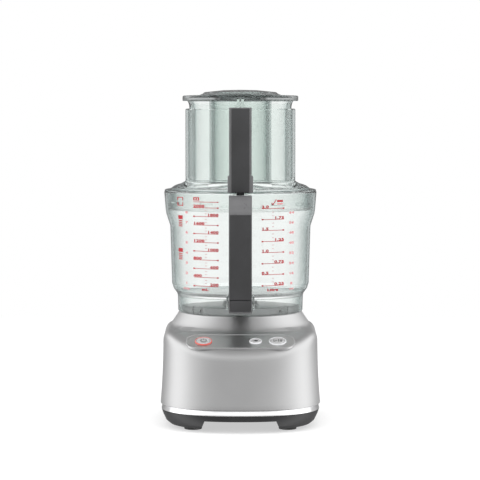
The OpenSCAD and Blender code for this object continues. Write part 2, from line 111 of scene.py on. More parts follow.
def ramp(nodes, links, source, stops, interpolation="LINEAR"):
    # each stop is a place and a colour, or a place and one grey value
    node = nodes.new("ShaderNodeValToRGB")
    node.color_ramp.interpolation = interpolation
    while len(node.color_ramp.elements) < len(stops):
        node.color_ramp.elements.new(0.5)
    for element, (place, tone) in zip(node.color_ramp.elements, stops):
        element.position = place
        element.color = (*tone, 1) if isinstance(tone, tuple) else (tone, tone, tone, 1)
    links.new(source, node.inputs[0])
    return node.outputs["Color"]


def feed(links, node, *values):
    # links or sets a node's first sockets, and gives its first output
    for socket, value in zip(node.inputs, values):
        if isinstance(value, bpy.types.NodeSocket):
            links.new(value, socket)
        else:
            socket.default_value = value
    return node.outputs[0]


# tones that the soft boxes, the dark flags and the white wall give
worldTones = {
    # shine at eye level, from the front round to the back
    "level": [(0.0, 0.52), (0.20, 0.54), (0.34, 0.95), (0.42, 1.65), (0.57, 1.7), (0.69, 0.6), (0.86, 0.34),
              (1.0, 0.24)],
    # shine from above, from the middle out to the side
    "high": [(0.0, 0.44), (0.35, 0.48), (0.55, 0.9), (0.70, 1.7), (1.0, 1.6)],
    "rise": [(0.12, 0.0), (0.42, 1.0)],  # height over which level becomes high
    "front": [(0.05, 0.0), (0.45, 0.75)],  # more light from the upper front
    # seen bent through clear walls, from the front round to the back
    "through": [(0.0, 1.0), (0.27, 0.95), (0.40, 0.52), (0.66, 0.32), (0.80, 0.72), (0.90, 1.0)],
}


def studioWorld():
    # white to look at, while what shines or refracts sees the tones above
    world = bpy.data.worlds.new("studio")
    bpy.context.scene.world = world
    world.use_nodes = True
    nodes, links = world.node_tree.nodes, world.node_tree.links
    nodes.clear()

    def calc(operation, *values):
        node = nodes.new("ShaderNodeMath")
        node.operation = operation
        return feed(links, node, *values)

    def tones(source, name):
        return ramp(nodes, links, source, worldTones[name], "EASE")

    def background(colour):
        return feed(links, nodes.new("ShaderNodeBackground"), colour, 1.0)

    def switched(rays, otherwise, then):
        node = nodes.new("ShaderNodeMixShader")
        return feed(links, node, path.outputs[rays], otherwise, then)

    coords = nodes.new("ShaderNodeTexCoord")
    split = nodes.new("ShaderNodeSeparateXYZ")
    links.new(coords.outputs["Generated"], split.inputs[0])
    x, y, z = split.outputs
    side = calc("ABSOLUTE", x)
    ahead = calc("MULTIPLY", y, -1.0)
    around = calc("DIVIDE", calc("ARCTAN2", side, ahead), math.pi)  # 0 in front, 1 behind
    rise = tones(z, "rise")
    blend = nodes.new("ShaderNodeMix")
    blend.data_type = "RGBA"
    links.new(rise, blend.inputs["Factor"])
    links.new(tones(around, "level"), blend.inputs["A"])
    links.new(tones(side, "high"), blend.inputs["B"])
    lit = nodes.new("ShaderNodeMix")
    lit.data_type = "RGBA"
    lit.blend_type = "ADD"
    frontLight = tones(calc("SUBTRACT", ahead, z), "front")
    links.new(calc("MULTIPLY", frontLight, rise), lit.inputs["Factor"])
    links.new(blend.outputs["Result"], lit.inputs["A"])
    lit.inputs["B"].default_value = (1, 1, 1, 1)
    path = nodes.new("ShaderNodeLightPath")
    shown = switched("Is Glossy Ray", background((1, 1, 1, 1)), background(lit.outputs["Result"]))
    shown = switched("Is Transmission Ray", shown, background(tones(around, "through")))
    output = nodes.new("ShaderNodeOutputWorld")
    links.new(shown, output.inputs["Surface"])


studioWorld()
print("camera and light set")


def startMaterial(name):
    material = bpy.data.materials.new(name)
    material.use_nodes = True
    tree = material.node_tree
    return material, tree.nodes, tree.links, tree.nodes["Principled BSDF"]


def objectNoise(nodes, links, scale, stretch=(1, 1, 1), detail=4.0):
    # a noise on Object coordinates, stretched for brushed or drawn surfaces
    coords = nodes.new("ShaderNodeTexCoord")
    mapping = nodes.new("ShaderNodeMapping")
    mapping.inputs["Scale"].default_value = stretch
    noise = nodes.new("ShaderNodeTexNoise")
    noise.inputs["Scale"].default_value = scale
    noise.inputs["Detail"].default_value = detail
    links.new(coords.outputs["Object"], mapping.inputs["Vector"])
    links.new(mapping.outputs["Vector"], noise.inputs["Vector"])
    return noise.outputs["Fac"]


def spread(nodes, links, source, low, high):
    # the middle of a noise, stretched from low to high
    node = nodes.new("ShaderNodeMapRange")
    return feed(links, node, source, 0.3, 0.7, low, high)


def solidFinish(name, dark, light, rough=(0.4, 0.5), metal=0.0, grain=900, grainHeight=0.00002,
                stretch=(1, 1, 1), patchScale=30, coat=0.0, glow=None, glowPower=0.0):
    # two close shades in soft patches, a rough value that wanders, and a fine grain as bump
    material, nodes, links, shader = startMaterial(name)
    patches = objectNoise(nodes, links, patchScale, stretch)
    links.new(ramp(nodes, links, patches, [(0.35, dark), (0.65, light)]), shader.inputs["Base Color"])
    links.new(spread(nodes, links, patches, *rough), shader.inputs["Roughness"])
    fine = objectNoise(nodes, links, grain, stretch, detail=2.0)
    bump = nodes.new("ShaderNodeBump")
    bump.inputs["Strength"].default_value = 0.4
    bump.inputs["Distance"].default_value = grainHeight
    links.new(fine, bump.inputs["Height"])
    links.new(bump.outputs["Normal"], shader.inputs["Normal"])
    shader.inputs["Metallic"].default_value = metal
    shader.inputs["IOR"].default_value = 1.5
    shader.inputs["Coat Weight"].default_value = coat
    shader.inputs["Coat Roughness"].default_value = 0.12
    if glow:
        shader.inputs["Emission Color"].default_value = (*glow, 1)
        shader.inputs["Emission Strength"].default_value = glowPower
    return material


def clearFinish(name, stops, rough=(0.0, 0.004), hazeScale=60):
    # clear moulded plastic, a little greener where it is seen edge on, as a thicker path through the wall
    # tints it, and darker there with painted shade that stands in for the dark surroundings seen in its
    # edges
    material, nodes, links, shader = startMaterial(name)
    facing = nodes.new("ShaderNodeLayerWeight")
    facing.inputs["Blend"].default_value = 0.5
    links.new(ramp(nodes, links, facing.outputs["Facing"], stops), shader.inputs["Base Color"])
    haze = objectNoise(nodes, links, hazeScale)
    links.new(spread(nodes, links, haze, *rough), shader.inputs["Roughness"])
    shader.inputs["Transmission Weight"].default_value = 1.0
    shader.inputs["IOR"].default_value = 1.45
    return material


finishes = {
    "housing_metal": solidFinish("satinHousing", (0.56, 0.56, 0.562), (0.61, 0.61, 0.612), (0.43, 0.48),
                                 metal=1.0, grain=2600, grainHeight=0.000012, patchScale=9),
    "bright_trim": solidFinish("brightTrim", (0.88, 0.88, 0.89), (0.93, 0.93, 0.94), (0.05, 0.10),
                               metal=1.0, grain=1500, grainHeight=0.000003),
    "black_plastic": solidFinish("blackMoulding", (0.012, 0.012, 0.013), (0.019, 0.019, 0.020),
                                 (0.30, 0.40), grain=1800, grainHeight=0.00003),
    "foot_rubber": solidFinish("blackRubber", (0.015, 0.015, 0.015), (0.03, 0.03, 0.03), (0.6, 0.75),
                               grainHeight=0.00005),
    "screw_steel": solidFinish("zincScrew", (0.52, 0.52, 0.50), (0.66, 0.66, 0.62), (0.28, 0.4), metal=1.0),
    "seat_plastic": solidFinish("greySeat", (0.50, 0.51, 0.515), (0.57, 0.58, 0.585), (0.3, 0.4),
                                coat=0.3, grain=1600),
    "panel_silver": solidFinish("panelSilver", (0.56, 0.56, 0.562), (0.61, 0.61, 0.612), (0.36, 0.42),
                                metal=1.0, grain=2200, grainHeight=0.00001, patchScale=12),
    "red_light": solidFinish("redLight", (0.60, 0.12, 0.10), (0.68, 0.16, 0.14), (0.25, 0.35),
                             glow=(1.0, 0.12, 0.08), glowPower=0.1),
    "white_light": solidFinish("whiteLight", (0.68, 0.69, 0.70), (0.76, 0.77, 0.78), (0.25, 0.35),
                               glow=(0.95, 0.97, 1.0), glowPower=0.04),
    "key_silver": solidFinish("keySilver", (0.50, 0.50, 0.505), (0.57, 0.57, 0.575), (0.3, 0.38),
                              metal=0.35, stretch=(1, 12, 1), grain=1500, grainHeight=0.00001),
    "circuit_board": solidFinish("circuitGreen", (0.01, 0.10, 0.04), (0.02, 0.16, 0.07), (0.3, 0.4),
                                 coat=0.5, patchScale=260),
    "cast_bracket": solidFinish("castBracket", (0.42, 0.42, 0.42), (0.52, 0.52, 0.52), (0.45, 0.6),
                                metal=1.0, grain=700, grainHeight=0.0001),
    "polished_steel": solidFinish("groundSteel", (0.6, 0.6, 0.61), (0.72, 0.72, 0.73), (0.15, 0.25),
                                  metal=1.0, stretch=(1, 1, 14)),
    "lamination_steel": solidFinish("laminations", (0.10, 0.11, 0.13), (0.2, 0.21, 0.23), (0.4, 0.5),
                                    metal=0.8, stretch=(1, 1, 40), patchScale=60, grain=400,
                                    grainHeight=0.0002),
    "winding_copper": solidFinish("copperWinding", (0.42, 0.13, 0.05), (0.62, 0.24, 0.10), (0.3, 0.4),
                                  metal=1.0, stretch=(1, 1, 30), patchScale=90, grain=500,
                                  grainHeight=0.0003),
    "capacitor_white": solidFinish("capacitorWhite", (0.7, 0.7, 0.68), (0.78, 0.78, 0.76), (0.3, 0.4)),
    # the darkest stops, at the edge-on end of the ramp, are painted shade
    "clear_plastic": clearFinish("clearPlastic", [(0.22, (0.946, 0.966, 0.957)), (0.46, (0.84, 0.88, 0.87)),
                                                  (0.68, (0.46, 0.53, 0.52)), (0.84, (0.12, 0.16, 0.16)),
                                                  (0.97, (0.03, 0.05, 0.05))]),
    "handle_grey": solidFinish("handleGrey", (0.115, 0.115, 0.118), (0.135, 0.135, 0.138), (0.25, 0.33),
                               grain=1500, coat=0.15),
    "grip_charcoal": solidFinish("gripCharcoal", (0.026, 0.026, 0.027), (0.034, 0.034, 0.036),
                                 (0.42, 0.52), grain=1300, grainHeight=0.00003),
    "blade_steel": solidFinish("bladeSteel", (0.62, 0.62, 0.63), (0.72, 0.72, 0.73), (0.16, 0.26),
                               metal=1.0, stretch=(1, 14, 1)),
    # the seal and the smoke plastic darken edge on the same way, with painted shade
    "seal_silicone": clearFinish("sealSilicone", [(0.2, (0.90, 0.92, 0.91)), (0.95, (0.6, 0.63, 0.62))],
                                 rough=(0.25, 0.35)),
    "smoke_plastic": clearFinish("smokePlastic", [(0.3, (0.42, 0.44, 0.44)), (0.8, (0.20, 0.21, 0.21)),
                                                  (0.97, (0.06, 0.06, 0.06))], rough=(0.03, 0.07)),
}
redPrint = solidFinish("redPrint", (0.36, 0.005, 0.012), (0.42, 0.01, 0.017), (0.5, 0.6), grain=4000)
palePrint = solidFinish("palePrint", (0.60, 0.24, 0.25), (0.65, 0.28, 0.29), (0.5, 0.6), grain=4000)
darkPrint = solidFinish("darkPrint", (0.02, 0.02, 0.02), (0.05, 0.05, 0.05), (0.4, 0.5), grain=4000)
slotOf = {part["node"]: part["material_slot"] for part in record["subparts"]}
bodyOf = {node: body for body, nodes in record["behaviour"]["bodies"].items() for node in nodes}
for nodeName, node in frame["nodes"].items():
    for slot in node.material_slots:
        slot.material = finishes[slotOf[nodeName]]
print("materials made")


# the shapes below are in millimetres about the drive axis
def rounded(corners, steps=6, closed=True):
    # corners are (u, v) or (u, v, radius); a corner with a radius becomes a curve
    path = []
    count = len(corners)
    for index, corner in enumerate(corners):
        here = Vector(corner[:2])
        if len(corner) < 3 or (not closed and index in (0, count - 1)):
            path.append(here)
            continue
        before = Vector(corners[index - 1][:2]) - here
        after = Vector(corners[(index + 1) % count][:2]) - here
        half = before.angle(after) / 2
        reach = min(corner[2] / math.tan(half), 0.49 * before.length, 0.49 * after.length)
        start = here + before.normalized() * reach
        end = here + after.normalized() * reach
        for step in range(steps + 1):
            t = step / steps
            path.append(start * (1 - t) ** 2 + here * (2 * t * (1 - t)) + end * t ** 2)
    return path


def lathe(corners, steps=128, roundSteps=6):
    bm = bmesh.new()
    path = rounded(corners, roundSteps)
    ring = [bm.verts.new((point.x, 0, point.y)) for point in path]
    edges = [bm.edges.new((ring[i - 1], ring[i])) for i in range(len(ring))
             if ring[i - 1].co.x > 1e-6 or ring[i].co.x > 1e-6]
    bmesh.ops.spin(bm, geom=ring + edges, cent=(0, 0, 0), axis=(0, 0, 1), angle=2 * math.pi,
                   steps=steps, use_merge=True, use_duplicate=False)
    bmesh.ops.remove_doubles(bm, verts=bm.verts, dist=1e-4)
    bmesh.ops.recalc_face_normals(bm, faces=bm.faces)
    return bm


def vertsOf(geometry):
    return [v for v in geometry if isinstance(v, bmesh.types.BMVert)]


def skin(rings):
    # extrudes a closed loop of edges from ring to ring, and joins the last to the first
    bm = bmesh.new()
    verts = [bm.verts.new(point) for point in rings[0]]
    first = [bm.edges.new((verts[i - 1], verts[i])) for i in range(len(verts))]
    edges = first
    for ring in rings[1:]:
        grown = bmesh.ops.extrude_edge_only(bm, edges=edges)["geom"]
        edges = [e for e in grown if isinstance(e, bmesh.types.BMEdge)]
        for vert, point in zip(vertsOf(grown), ring):
            vert.co = point
    bmesh.ops.bridge_loops(bm, edges=first + edges)
    bmesh.ops.recalc_face_normals(bm, faces=bm.faces)
    return bm


def prism(path, low, high, along="z"):
    # a flat outline given a thickness; along x the outline is (y, z)
    bm = bmesh.new()
    if along == "x":
        face = bm.faces.new([bm.verts.new((low, p[0], p[1])) for p in path])
        push = (high - low, 0, 0)
    else:
        face = bm.faces.new([bm.verts.new((p[0], p[1], low)) for p in path])
        push = (0, 0, high - low)
    grown = bmesh.ops.extrude_face_region(bm, geom=[face])["geom"]
    bmesh.ops.translate(bm, vec=push, verts=vertsOf(grown))
    bmesh.ops.recalc_face_normals(bm, faces=bm.faces)
    return bm


def soften(bm, width, segments=3, minAngle=30, pick=None):
    sharp = [e for e in bm.edges if e.is_manifold and e.calc_face_angle(0) > math.radians(minAngle)
             and (pick is None or pick(e))]
    bmesh.ops.bevel(bm, geom=sharp, offset=width, offset_type="OFFSET", segments=segments, profile=0.5,
                    affect="EDGES", material=-1, clamp_overlap=True)
    return bm


def joined(*parts):
    whole = bmesh.new()
    for part in parts:
        mesh = bpy.data.meshes.new("part")
        part.to_mesh(mesh)
        whole.from_mesh(mesh)
        part.free()
        bpy.data.meshes.remove(mesh)
    return whole


def moved(bm, shift=(0, 0, 0), turn=None):
    if turn is not None:
        bmesh.ops.transform(bm, matrix=turn, verts=bm.verts)
    bmesh.ops.translate(bm, vec=shift, verts=bm.verts)
    return bm


def toFrame(bm):
    # from millimetres about the drive axis to the frame's metres
    bmesh.ops.scale(bm, vec=(mm, mm, mm), verts=bm.verts)
    bmesh.ops.translate(bm, vec=(0, axisY, 0), verts=bm.verts)


def asPiece(name, bm, body, slotName, material=None, hides=(), sharpAngle=35, inMetres=False):
    if not inMetres:
        toFrame(bm)
    mesh = bpy.data.meshes.new(name)
    bm.to_mesh(mesh)
    bm.free()
    mesh.shade_smooth()
    mesh.set_sharp_from_angle(angle=math.radians(sharpAngle))
    mesh.materials.append(material or finishes[slotName])
    piece = bpy.data.objects.new(name, mesh)
    bpy.context.scene.collection.objects.link(piece)
    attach(piece, body)
    if hides:
        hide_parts(*hides)
    return piece


def softened(nodeName, width, segments=3, minAngle=30, pick=None):
    # a CAD node again, with its sharp edges rounded as a mould or a file leaves them
    bm = bmesh.new()
    bm.from_mesh(frame["nodes"][nodeName].data)
    bmesh.ops.remove_doubles(bm, verts=bm.verts, dist=2e-6)
    bmesh.ops.dissolve_limit(bm, angle_limit=math.radians(0.5), verts=bm.verts, edges=bm.edges)
    if width:
        soften(bm, width * mm, segments, minAngle, pick)
    return asPiece(nodeName + "_piece", bm, bodyOf[nodeName], slotOf[nodeName], hides=(nodeName,),
                   inMetres=True)


def cutAway(piece, cutter):
    # takes the cutter's shape out of a finished piece
    toFrame(cutter)
    mesh = bpy.data.meshes.new("cutter")
    cutter.to_mesh(mesh)
    cutter.free()
    tool = bpy.data.objects.new("cutter", mesh)
    bpy.context.scene.collection.objects.link(tool)
    modifier = piece.modifiers.new("cut", "BOOLEAN")
    modifier.operation = "DIFFERENCE"
    modifier.solver = "EXACT"
    modifier.object = tool
    graph = bpy.context.evaluated_depsgraph_get()
    result = bpy.data.meshes.new_from_object(piece.evaluated_get(graph))
    old = piece.data
    piece.modifiers.clear()
    piece.data = result
    result.name = piece.name
    result.set_sharp_from_angle(angle=math.radians(35))
    bpy.data.meshes.remove(old)
    bpy.data.objects.remove(tool)
    bpy.data.meshes.remove(mesh)


def box(x0, x1, y0, y1, z0, z1):
    return prism([(x0, y0), (x1, y0), (x1, y1), (x0, y1)], z0, z1)


# base housing, trim band and chassis
housingLow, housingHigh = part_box("housing")
base = {
    "halfWidth": housingHigh.x / mm,
    "front": (axisY - housingLow.y) / mm,
    "back": (housingHigh.y - axisY) / mm,
    "bottom": housingLow.z / mm,
    "top": housingHigh.z / mm,
    "frontEnd": 78,  # depth of each rounded end, seen from above, and how square it is
    "rearEnd": 70,
    "frontPower": 2.25,
    "rearPower": 2.6,
    "draft": 3.4,  # each side leans in this far, between the bottom and draftTop
    "draftTop": 106,
    "arcSteps": 56,
    "sideSteps": 14,
    "deckY": -112,  # the sloped deck passes through here
    "deckZ": 105.4,
    "deckFall": 0.36,
    "deckLevel": 114,
    "deckBlend": 1.0,
    "neckRadius": 75.2,
    "neckZ": 130.3,
    "neckSlope": 1.55,
    "neckBlend": 2.4,
    "neckFoot": 80,
    "shoulderReach": 11,  # the curve from deck to side starts this far in, or less where the deck is narrow
    "shoulderShare": 0.66,
    "shoulderDrop": 12.5,
    "seatHole": 68,
    "sheet": 3.6,  # thickness round the seat
    "wall": 2.4,
}
deckSlope = math.atan(base["deckFall"])


def halfWidthAt(z):
    share = max(0, base["draftTop"] - z) / (base["draftTop"] - base["bottom"])
    return base["halfWidth"] - base["draft"] * (1 - share ** 2)


def outline(width, inset=0.0):
    # the base seen from above: a superellipse at each end, joined by straight sides
    shrink = base["halfWidth"] - width + inset
    rearMid = base["back"] - base["rearEnd"]
    frontMid = base["frontEnd"] - base["front"]
    ends = (("rearEnd", "rearPower", rearMid, 0), ("frontEnd", "frontPower", frontMid, math.pi))
    points = []
    for endName, powerName, middle, turn in ends:
        for step in range(base["arcSteps"] + 1):
            angle = turn + math.pi * step / base["arcSteps"]
            bend = 2 / base[powerName]
            x = math.copysign(abs(math.cos(angle)) ** bend, math.cos(angle))
            y = math.copysign(abs(math.sin(angle)) ** bend, math.sin(angle))
            points.append(((width - inset) * x, middle + (base[endName] - shrink) * y))
        side = -1 if turn == 0 else 1
        start, stop = (rearMid, frontMid) if turn == 0 else (frontMid, rearMid)
        for step in range(1, base["sideSteps"]):
            share = step / base["sideSteps"]
            points.append((side * (width - inset), start + (stop - start) * share))
    return points


def softMax(a, b, blend):
    return (a + b) / 2 + math.sqrt((a - b) ** 2 / 4 + blend ** 2)


def topHeight(x, y):
    # the sloped deck, level towards the back, with the neck rising out of it
    slope = base["deckZ"] + math.tan(deckSlope) * (y - base["deckY"])
    deck = -softMax(-slope, -base["deckLevel"], base["deckBlend"])
    neck = base["neckZ"] - base["neckSlope"] * (math.hypot(x, y) - base["neckRadius"])
    return softMax(neck, deck, base["neckBlend"])


outlineCache = {}


def sideOutline(z):
    key = round(z, 2)
    if key not in outlineCache:
        outlineCache[key] = outline(halfWidthAt(z))
    return outlineCache[key]


def housingRings():
    # from the seat's hole out over the neck and deck, down the side, and back up inside
    top, bottom, foot = base["top"], base["bottom"], base["neckFoot"]
    edge = [Vector(p) for p in outline(halfWidthAt(base["draftTop"]))]
    rays = [e.normalized() for e in edge]
    starts = [e.length - min(base["shoulderReach"], base["shoulderShare"] * (e.length - foot))
              for e in edge]

    def topRing(radii, drop=0.0):
        points = [ray * radius for ray, radius in zip(rays, radii)]
        return [(p.x, p.y, topHeight(p.x, p.y) - drop) for p in points]

    def flatRing(radius, z):
        return [((ray * radius).x, (ray * radius).y, z) for ray in rays]

    corner = [Vector((e.x, e.y, topHeight(e.x, e.y))) for e in edge]
    shoulder = []
    for index, c in enumerate(corner):
        z = c.z - base["shoulderDrop"]
        x, y = outline(halfWidthAt(z))[index]
        shoulder.append(Vector((x, y, z)))
    begin = [Vector(p) for p in topRing(starts)]
    rings = [flatRing(base["seatHole"], top), flatRing(74.2, top), flatRing(74.9, top - 0.25)]
    rings += [topRing([radius] * len(edge)) for radius in (75.5, 76.6, 77.8, 79, foot)]
    rings += [topRing([foot + (s - foot) * t for s in starts])
              for t in (0.05, 0.09, 0.13, 0.17, 0.22, 0.3, 0.45, 0.65, 0.85, 1.0)]
    for step in range(1, 10):
        t = step / 9
        rings.append([tuple(a * (1 - t) ** 2 + b * (2 * t * (1 - t)) + c * t ** 2)
                      for a, b, c in zip(begin, corner, shoulder)])
    for share in (0.15, 0.3, 0.45, 0.6, 0.75, 0.9, 0.985):
        heights = [p.z + (bottom - p.z) * share for p in shoulder]
        rings.append([(*sideOutline(z)[index], z) for index, z in enumerate(heights)])
    for inset, rise in ((0.3, 0.0), (base["wall"], 0.0), (base["wall"], 60)):
        rings.append([(x, y, bottom + rise) for x, y in outline(halfWidthAt(bottom + rise), inset)])
    rings.append(topRing([s - 2 for s in starts], 3.2))
    rings += [flatRing(78, 119), flatRing(72, top - base["sheet"]),
              flatRing(base["seatHole"], top - base["sheet"])]
    return rings


asPiece("housing_shell", skin(housingRings()), "base", "housing_metal", hides=("housing",), sharpAngle=50)
print("housing shaped")

band = {
    "low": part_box("trim_band")[0].z / mm,
    "high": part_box("trim_band")[1].z / mm,
    "inset": 0.9,  # how far in its foot, its top and its back stand
    "lean": 2.3,
    "back": 4,
}


def bandRings():
    low, high, inset, back = band["low"], band["high"], band["inset"], band["back"]
    section = rounded([(inset + band["lean"], high, 0.7), (inset, low, 1.6), (back, low), (back, high)], 5)
    return [[(x, y, p.y) for x, y in outline(base["halfWidth"], p.x)] for p in section]


asPiece("trim_band_piece", skin(bandRings()), "base", "bright_trim", hides=("trim_band",), sharpAngle=60)
softened("chassis", 1.0, 3, minAngle=32)
softened("rubber_feet", 0.8, 3)
softened("bowl_seat", 0.5, 3)
softened("cord_gland", 0.6, 3)
print("base trimmed")


panel = {
    "width": 128,
    "depth": 36,
    "corner": 17,
    "below": 1.4,  # how deep the plate goes into the deck
    "lift": 0.9,
    "rim": 1.1,
    "sink": 0.35,  # the face lies this far below the rim
    "edge": 0.3,
    # where the strip of painted highlight lies in from the panel's edge, and how wide it is
    "highlightInset": 0.2,
    "highlightWidth": 0.55,
    "ringWidth": 0.95,
    "holeGap": 0.1,
    "iconWidth": 0.75,
    "iconHeight": 1.95,
    "iconRise": 0.12,
    "keys": {"power": -43.3, "pulse": 17.8, "start": 43.8},  # where each key stands, from the middle
}
deckPlace = Matrix.Translation((0, base["deckY"], base["deckZ"])) @ Matrix.Rotation(deckSlope, 4, "X")


def roundRect(width, depth, radius, steps=12):
    w, d = width / 2, depth / 2
    return rounded([(w, -d, radius), (w, d, radius), (-w, d, radius), (-w, -d, radius)], steps)


def circlePath(radius, steps=64):
    return [(radius * math.cos(2 * math.pi * i / steps), radius * math.sin(2 * math.pi * i / steps))
            for i in range(steps)]


def keySize(node):
    low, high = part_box(node)
    return (high.x - low.x) / 2 / mm


def panelPlate():
    outerPath = roundRect(panel["width"], panel["depth"], panel["corner"])
    plate = prism(outerPath, -panel["below"], panel["lift"])
    top = max(plate.faces, key=lambda f: f.calc_center_median().z)
    rim = bmesh.ops.inset_region(plate, faces=[top], thickness=panel["rim"], use_even_offset=True)["faces"]
    inner = [f for f in plate.faces if f.calc_center_median().z > panel["lift"] - 0.01 and f not in rim]
    bmesh.ops.translate(plate, vec=(0, 0, -panel["sink"]), verts=list({v for f in inner for v in f.verts}))
    soften(plate, panel["edge"], 3, minAngle=15)
    return moved(plate, turn=deckPlace)


def loopStrip(inset, thick, low, high):
    # a thin raised line that follows the panel's edge
    outer, inner = [roundRect(panel["width"] - 2 * i, panel["depth"] - 2 * i, panel["corner"] - i)
                    for i in (inset, inset + thick)]
    return skin([[(p[0], p[1], z) for p in path] for path, z in
                 ((outer, low), (outer, high), (inner, high), (inner, low))])


controlPanel = asPiece("control_panel_plate", panelPlate(), "base", "panel_silver",
                       hides=("control_panel",))
# a raised strip in the key caps' lighter finish along the panel's edge: a painted highlight where the rim
# catches the light
edgeHighlightStrip = loopStrip(panel["highlightInset"], panel["highlightWidth"], 0.6, 0.98)
asPiece("control_panel_highlight_strip", moved(edgeHighlightStrip, turn=deckPlace), "base", "panel_silver",
        material=finishes["key_silver"])
for keyName, keyX in panel["keys"].items():
    ringNode, capNode = keyName + "_ring", keyName + "_button"
    hole, cap = keySize(ringNode), keySize(capNode)
    mid, within = hole - panel["ringWidth"], cap + 0.25
    place = deckPlace @ Matrix.Translation((keyX, 0, 0))
    cutAway(controlPanel, moved(prism(circlePath(hole + panel["holeGap"]), -4, 4), turn=place))
    lightRing = lathe([(mid, -3), (hole, -3), (hole, 1.4, 0.4), (hole - 0.5, 1.8, 0.3), (mid, 1.8, 0.3)],
                      64, 4)
    asPiece(keyName + "_ring_piece", moved(lightRing, turn=place), "base", slotOf[ringNode],
            hides=(ringNode,))
    collar = lathe([(within, -3), (mid - 0.02, -3), (mid - 0.02, 1.6, 0.3), (within, 1.3, 0.3)], 64, 3)
    asPiece(keyName + "_ring_collar", moved(collar, turn=place), "base", slotOf[ringNode],
            material=finishes["key_silver"])
    keyCap = lathe([(0, -7.5), (cap, -7.5), (cap, 1.7, 0.9), (cap - 1.4, 2.2, 1.2), (cap * 0.55, 1.75, 6),
                    (0, 1.6)], 64, 6)
    asPiece(keyName + "_button_piece", moved(keyCap, turn=place), bodyOf[capNode], slotOf[capNode],
            hides=(capNode,))


def strokes(paths, turn):
    # thin raised lines of print along each path
    width, z = panel["iconWidth"], panel["iconHeight"]
    parts = []
    for path in paths:
        points = [Vector((p[0], p[1])) for p in path]
        left, right = [], []
        for index, point in enumerate(points):
            ahead = points[min(index + 1, len(points) - 1)] - points[max(index - 1, 0)]
            side = Vector((-ahead.y, ahead.x)).normalized() * width / 2
            left.append(point + side)
            right.append(point - side)
        parts.append(prism([tuple(p) for p in right + left[::-1]], z, z + panel["iconRise"]))
    return moved(joined(*parts), turn=turn)


def arcPath(radius, start, stop, steps=18):
    turns = [math.radians(start + (stop - start) * i / steps) for i in range(steps + 1)]
    return [(radius * math.cos(turn), radius * math.sin(turn)) for turn in turns]


icons = {
    "power": [arcPath(3.3, 125, 415), [(0, 1.6), (0, 4.6)]],
    "pulse": [[(-3.0, -1.2), (-1.4, -1.2), (-0.6, 1.8), (0.6, -2.0), (1.4, -0.4), (3.0, -0.4)]],
    "start": [[(-4.6, -2.4), (-4.6, 2.4), (-0.9, 0), (-4.6, -2.4)], [(0.9, -3.2), (0.9, 3.2)],
              [(2.6, -1.9), (5.4, -1.9)], [(2.6, 0), (5.4, 0)], [(2.6, 1.9), (5.4, 1.9)]],
}
for keyName, paths in icons.items():
    place = deckPlace @ Matrix.Translation((panel["keys"][keyName], 0, 0))
    asPiece(keyName + "_icon", strokes(paths, place), bodyOf[keyName + "_button"], "black_plastic",
            material=darkPrint)
print("controls made")


bowl = {
    "rim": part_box("bowl")[1].z / mm,
    "rimRadius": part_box("bowl")[1].x / mm,
    "floor": 155,
    "tube": 10.2,
    "tubeTop": 206,
    "tubeHole": 5.1,  # the hole at the tube's top, where the spindle comes out
    "spindleRoom": 7.8,
    "under": 152.2,  # the floor's underside
    "steps": 160,
}
# both outlines are (radius, height, rounding)
bowlOutside = [
    (76, 132.3, 0.8), (76.5, 150.6, 1.2), (77.4, 154, 2), (81.6, 159.6, 4), (83.6, 166, 4), (85.7, 236, 7),
    (90.4, 250.5, 6), (91.3, 256, 6), (bowl["rimRadius"], bowl["rim"] - 1.2, 0.8),
    (bowl["rimRadius"] - 0.8, bowl["rim"], 0.6),
]
bowlInside = [
    (90.6, bowl["rim"], 0.6), (90.1, bowl["rim"] - 1.4, 0.8), (88.5, 256, 5), (87.7, 251, 5),
    (82.9, 236.5, 7), (80.8, 166, 5), (78.6, 159, 5), (72.5, bowl["floor"], 3), (13, bowl["floor"], 1.5),
    (bowl["tube"], 158, 1), (bowl["tube"], bowl["tubeTop"], 0.8), (bowl["tubeHole"], bowl["tubeTop"], 0.3),
    (bowl["tubeHole"], 178), (bowl["spindleRoom"], 178), (bowl["spindleRoom"], bowl["under"], 0.4),
    (73.3, bowl["under"], 1.0), (73, 132.3, 0.6),
]


def lugs(corners, firstAngle, width):
    # four of the same lug, a quarter turn apart; corners are those of the box at the first
    parts = []
    for quarter in range(4):
        turn = Matrix.Rotation(math.radians(firstAngle + 90 * quarter), 4, "Z")
        parts.append(moved(soften(box(*corners), width), turn=turn))
    return parts


def bowlBody():
    parts = [lathe(bowlOutside + bowlInside, bowl["steps"])]
    parts += lugs((71, 74, -6, 6, 134.5, 138), 45, 0.5)  # hold it on the seat
    parts += lugs((87.9, 90.4, -9, 9, 264, 267), 30, 0.6)  # hold the lid
    cheek = [(-101, 141, 7), (-101, 158, 9), (-76, 158, 1), (-76, 141, 2)]
    for side in (-1, 1):
        low, high = sorted((side * 14.2, side * 16.6))
        parts.append(soften(prism(rounded(cheek), low, high, "x"), 0.7))
        low, high = sorted((side * 5, side * 9))
        parts.append(soften(box(low, high, -93.3, -90.8, 257, 268), 0.4))
    return joined(*parts)


bowlPiece = asPiece("bowl_shell", bowlBody(), "bowl", "clear_plastic", hides=("bowl",), sharpAngle=40)
cutAway(bowlPiece, box(-4.5, 4.5, -80, -71, 137, 151.6))
print("bowl turned")


marks = {
    "lineWidth": 0.68,
    "columns": {"left": (-56, -26), "right": (25.4, 52)},
    "lowZ": 167.5,
    "millilitreStep": 10.44,  # height of each 200 mL
    "litreStep": 13.2,  # height of each 0.25 L
    "numberHeight": 3.1,
    "letterSize": 1.35,  # font size for each mm of height, and how wide, bold and loose the letters are
    "letterStretch": 1.45,
    "letterBold": 0.08,
    "letterSpace": 1.12,
    "lift": 0.12,  # inner face of the print, above the bowl's wall
    "thick": 0.1,
    "barStep": 1.5,
    "tableLow": 133,
    "tableStep": 0.5,
    "tableCount": 290,
}


